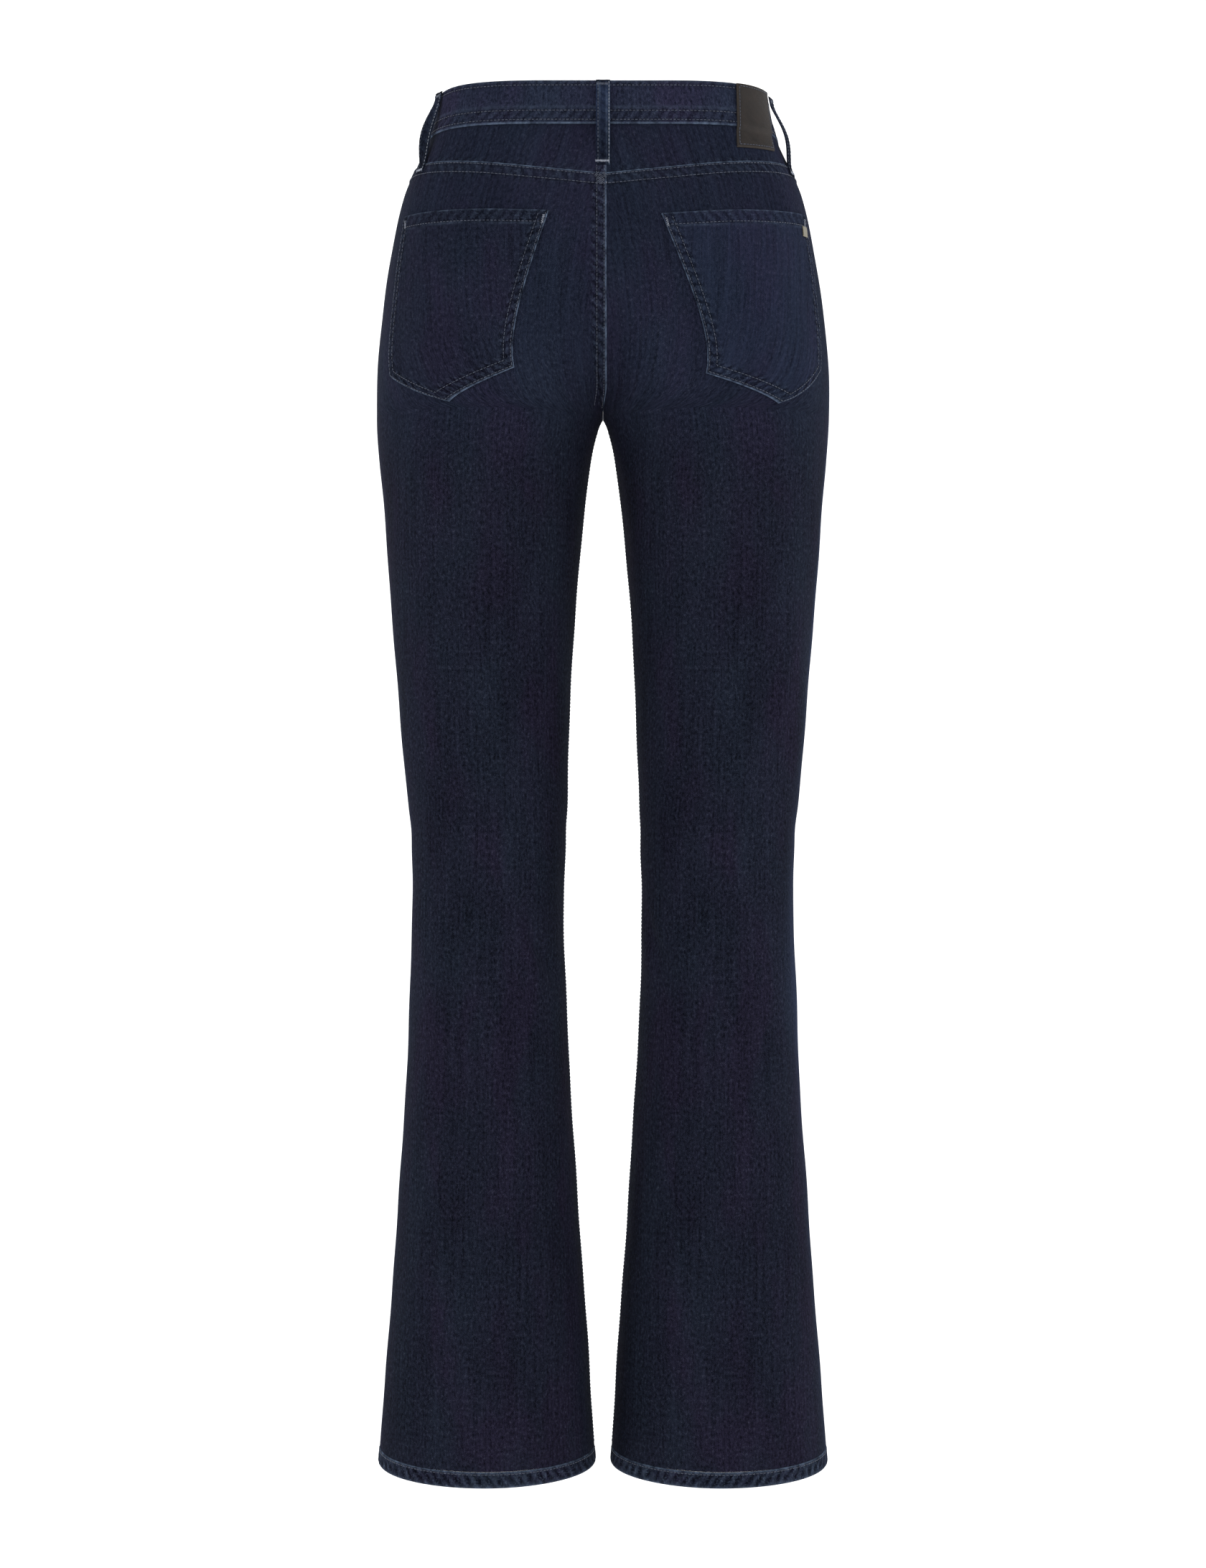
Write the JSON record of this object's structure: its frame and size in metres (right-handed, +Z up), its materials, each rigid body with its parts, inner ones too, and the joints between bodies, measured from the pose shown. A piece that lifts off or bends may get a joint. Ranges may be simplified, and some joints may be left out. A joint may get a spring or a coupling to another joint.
{
  "type": "flared jeans",
  "caption": "High-rise flared denim jeans, filled out and hollow, with a waistband, belt loops, yoke, patch pockets, zip fly under one waist button and open flared hems.",
  "frame": {"origin": "centre of the waist opening, at mid-height of the waistband's side", "axes": "+Z up along the legs towards the waist, -Y towards the garment's front, +X towards the wearer's left"},
  "size_m": [0.377, 0.2242, 1.1441],
  "materials": {
    "denim": "dark indigo stretch denim twill, matt, with faint vertical slubs",
    "denim_pocket": "dark indigo denim, paler along the sewn edges",
    "denim_band": "dark indigo denim, folded and topstitched, paler on the ridges",
    "denim_loop": "dark indigo denim strap, worn paler blue on its ridges",
    "leather": "dark brown smooth leather, satin, bare",
    "silver_metal": "pale brushed metal, bare",
    "button_metal": "dark antique metal, plain",
    "zip": "navy zip tape with a dark metal chain"
  },
  "bodies": {
    "root": {"back_panel_left": "denim", "back_panel_right": "denim", "front_panel_left": "denim", "front_panel_right": "denim", "yoke_left": "denim", "yoke_right": "denim", "pocket_facing_left": "denim", "pocket_facing_right": "denim", "fly_shield": "denim", "back_pocket_left": "denim_pocket", "back_pocket_right": "denim_pocket", "waistband": "denim_band", "hem_left": "denim_band", "hem_right": "denim_band", "belt_loop_back": "denim_loop", "belt_loop_side_left": "denim_loop", "belt_loop_side_right": "denim_loop", "belt_loop_front_left": "denim_loop", "belt_loop_front_right": "denim_loop", "label_patch": "leather", "pocket_tab": "silver_metal", "waist_button": "button_metal", "fly_zip": "zip"}
  },
  "joints": []
}
